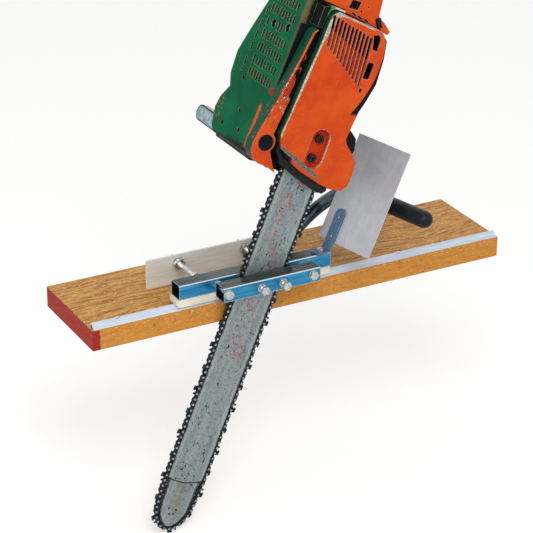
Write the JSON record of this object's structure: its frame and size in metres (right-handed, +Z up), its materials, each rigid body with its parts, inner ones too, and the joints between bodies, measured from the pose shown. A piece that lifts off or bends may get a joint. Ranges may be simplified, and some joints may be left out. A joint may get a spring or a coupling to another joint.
{
  "type": "chainsaw mill",
  "caption": "Petrol chainsaw clamped by its bar in a sliding two-tube carriage that runs along an angle rail on a guide board, with outrigger plate, side handle and chip deflector.",
  "frame": {"origin": "centre of the guide board's underside, which lies on the log or on the timber being milled", "axes": "+X along the guide rail, +Y across the board away from the operator, +Z up out of the board"},
  "size_m": [0.74, 0.3074, 1.0047],
  "materials": {
    "board_wood": "oiled, worn",
    "rail_metal": "drawn angle, dull",
    "zinc_plate": "bright zinc plated",
    "bright_steel": "bright zinc plated",
    "nylon": "cream, smooth",
    "rubber": "black, matt",
    "plate_metal": "dull rolled sheet",
    "bar_steel": "worn, oily",
    "chain_steel": "dark oiled",
    "orange_cast": "orange paint, worn to metal on the edges",
    "green_cast": "green paint, worn along the edges",
    "dark_cast": "dark paint",
    "cast_aluminium": "as cast",
    "exhaust_steel": "heat stained",
    "black_plastic": "fine grain"
  },
  "bodies": {
    "track": {"guide_board": "board_wood", "guide_rail": "rail_metal", "rail_screw_1": "bright_steel", "rail_screw_2": "bright_steel", "rail_screw_3": "bright_steel"},
    "outrigger": {"outrigger_plate": "plate_metal", "plate_nut_front_left": "bright_steel", "plate_nut_back_left": "bright_steel", "plate_nut_front_right": "bright_steel", "plate_nut_back_right": "bright_steel"},
    "clamp_left": {"clamp_screw_left": "bright_steel"},
    "clamp_right": {"clamp_screw_right": "bright_steel"},
    "deflector": {"deflector_bracket": "bar_steel", "bracket_bolt": "bright_steel", "deflector_sheet": "plate_metal"},
    "clutch": {"clutch_drum": "exhaust_steel"},
    "nose_wheel": {"nose_sprocket": "chain_steel"},
    "oil_filler": {"oil_cap": "black_plastic"},
    "fuel_filler": {"fuel_cap": "black_plastic"},
    "trigger": {"throttle_trigger": "black_plastic"},
    "lockout": {"throttle_lockout": "black_plastic"},
    "pull_grip": {"starter_grip": "black_plastic"},
    "carriage": {"front_tube": "zinc_plate", "rear_tube": "zinc_plate", "handle_tube": "zinc_plate", "slide_shoe": "nylon", "through_bolt_left": "bright_steel", "bolt_washer_left": "bright_steel", "spacer_nut_left": "bright_steel", "bolt_nut_left": "bright_steel", "lock_nut_left": "bright_steel", "outrigger_rod_left": "bright_steel", "rest_pad_left": "cast_aluminium", "through_bolt_right": "bright_steel", "bolt_washer_right": "bright_steel", "spacer_nut_right": "bright_steel", "bolt_nut_right": "bright_steel", "lock_nut_right": "bright_steel", "outrigger_rod_right": "bright_steel", "rest_pad_right": "cast_aluminium", "handle_grip": "rubber", "guide_bar": "bar_steel", "bar_nose": "bar_steel", "saw_chain": "chain_steel", "clutch_cover": "orange_cast", "bar_nut_lower": "bright_steel", "bar_nut_upper": "bright_steel", "chain_guard": "rubber", "crankcase": "dark_cast", "crankshaft": "bright_steel", "connecting_rod": "bright_steel", "piston": "cast_aluminium", "cylinder": "cast_aluminium", "side_housing": "orange_cast", "engine_shroud": "green_cast", "muffler": "exhaust_steel", "exhaust_outlet": "cast_aluminium", "starter_housing": "orange_cast", "flywheel": "cast_aluminium", "rear_handle": "orange_cast"}
  },
  "joints": [
    {"name": "carriage_slide", "type": "slide", "parent": "track", "child": "carriage", "axis": [1, 0, 0], "range_m": [-0.13, 0.3]},
    {"name": "outrigger_slide", "type": "slide", "parent": "carriage", "child": "outrigger", "axis": [0, 1, 0], "range_m": [-0.02, 0.01]},
    {"name": "clamp_left_slide", "type": "slide", "parent": "carriage", "child": "clamp_left", "axis": [0, -1, 0], "range_m": [0, 0.006]},
    {"name": "clamp_right_slide", "type": "slide", "parent": "carriage", "child": "clamp_right", "axis": [0, -1, 0], "range_m": [0, 0.006]},
    {"name": "deflector_swivel", "type": "hinge", "parent": "carriage", "child": "deflector", "pos_m": [0.0313, -0.08329, 0.078], "axis": [0, 0, 1], "range_deg": [-10, 12]},
    {"name": "clutch_spin", "type": "hinge", "parent": "carriage", "child": "clutch", "pos_m": [0.03182, -0.108, 0.34128], "axis": [0, 1, 0], "continuous": true},
    {"name": "nose_spin", "type": "hinge", "parent": "carriage", "child": "nose_wheel", "pos_m": [-0.2414, -0.096, -0.31187], "axis": [0, 1, 0], "continuous": true},
    {"name": "oil_cap_turn", "type": "hinge", "parent": "carriage", "child": "oil_filler", "pos_m": [-0.08508, -0.11, 0.30022], "axis": [0, -1, 0], "continuous": true},
    {"name": "fuel_cap_turn", "type": "hinge", "parent": "carriage", "child": "fuel_filler", "pos_m": [0.0679, -0.026, 0.51046], "axis": [0, 1, 0], "continuous": true},
    {"name": "trigger_pull", "type": "hinge", "parent": "carriage", "child": "trigger", "pos_m": [0.10554, -0.066, 0.5771], "axis": [0, 1, 0], "range_deg": [0, 8], "stiffness_Nm_per_rad": 1.5, "springref_deg": -5.73},
    {"name": "lockout_press", "type": "hinge", "parent": "carriage", "child": "lockout", "pos_m": [0.09556, -0.066, 0.59212], "axis": [0, -1, 0], "range_deg": [0, 4.4], "stiffness_Nm_per_rad": 1.5, "springref_deg": -5.73},
    {"name": "pull_grip_slide", "type": "slide", "parent": "carriage", "child": "pull_grip", "axis": [0.3859, 0, 0.9225], "range_m": [0, 0.007], "stiffness_N_per_m": 300, "springref_m": -0.02}
  ],
  "couplings": [
    {"joint": "nose_spin", "follows": "clutch_spin", "ratio": 0.77778}
  ]
}
